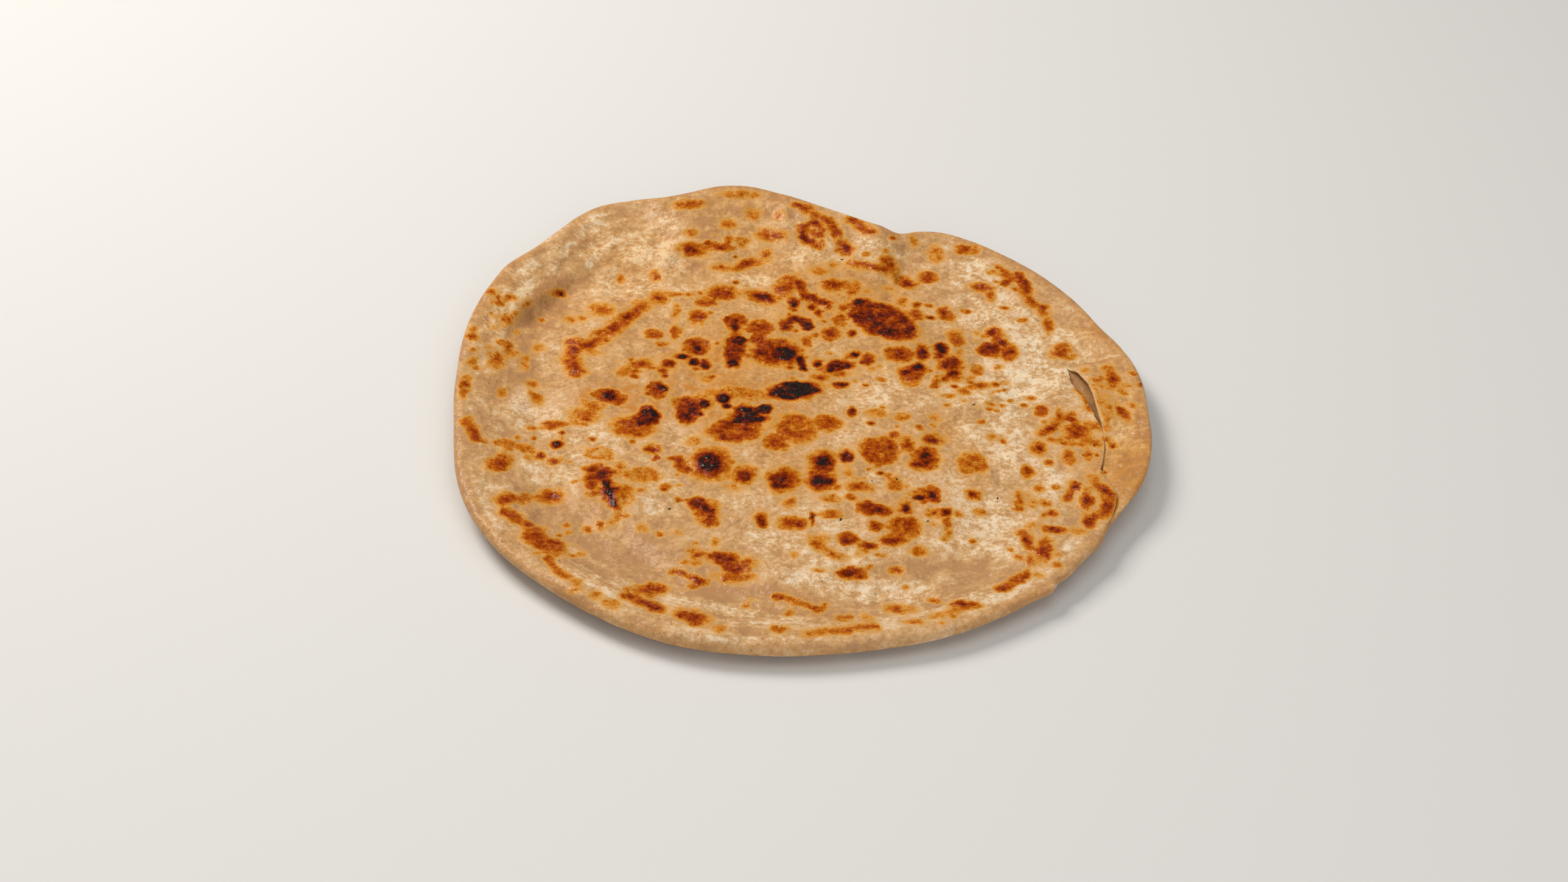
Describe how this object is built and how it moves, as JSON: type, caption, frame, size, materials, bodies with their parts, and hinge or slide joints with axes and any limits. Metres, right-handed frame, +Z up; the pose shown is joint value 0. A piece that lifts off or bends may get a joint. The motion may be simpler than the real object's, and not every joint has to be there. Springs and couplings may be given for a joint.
{
  "type": "butter roti",
  "caption": "Round griddle-cooked flat bread, thin and slightly dished, with a puffed rim, brown blisters and a small torn pocket near one edge.",
  "frame": {"origin": "middle of the bread's bounding box, on the surface it rests on", "axes": "+Z up through the thickness, -Y towards the near puffed edge, +Y towards the turned-up back lobe, +X towards the torn pocket"},
  "size_m": [0.2277, 0.2384, 0.0147],
  "materials": {
    "roti": null
  },
  "bodies": {
    "root": {"roti": "roti"}
  },
  "joints": []
}
